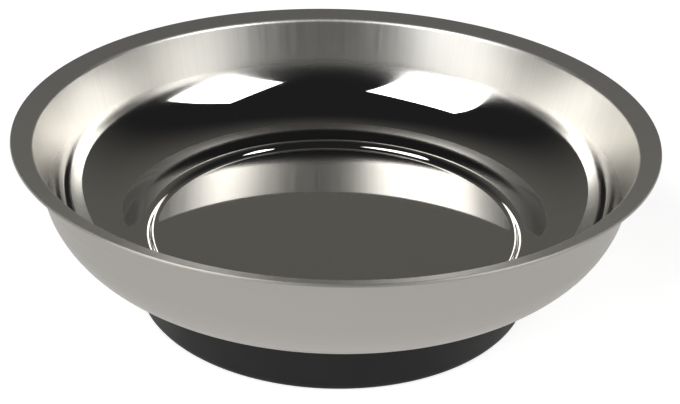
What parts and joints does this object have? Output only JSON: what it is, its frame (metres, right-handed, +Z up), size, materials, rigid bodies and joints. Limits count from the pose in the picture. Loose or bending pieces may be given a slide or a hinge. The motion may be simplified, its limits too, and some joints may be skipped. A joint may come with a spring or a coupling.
{
  "type": "magnetic parts tray",
  "caption": "Round stainless steel bowl with a flared rim and a pressed floor, on a black rubber-covered ring magnet that holds small steel parts in the bowl and the tray to steel.",
  "frame": {"origin": "middle of the flat underside that the tray stands on", "axes": "+Z up along the axis of the bowl, from the base to the rim; the tray is round, so X and Y have no preferred direction"},
  "size_m": [0.15, 0.15, 0.0439],
  "materials": {
    "stainless_steel": "mirror-drawn inside, satin outside",
    "plated_steel": "bright zinc plate",
    "foam": "matte closed-cell foam",
    "ferrite": "matte sintered ferrite",
    "black_rubber": "satin moulded"
  },
  "bodies": {
    "root": {"dish": "stainless_steel", "weld_stud": "plated_steel", "foam_pad": "foam", "ring_magnet": "ferrite", "clamp_cup": "plated_steel", "base_cover": "black_rubber", "flat_washer": "plated_steel", "lock_washer": "plated_steel", "hex_nut": "plated_steel"}
  },
  "joints": []
}
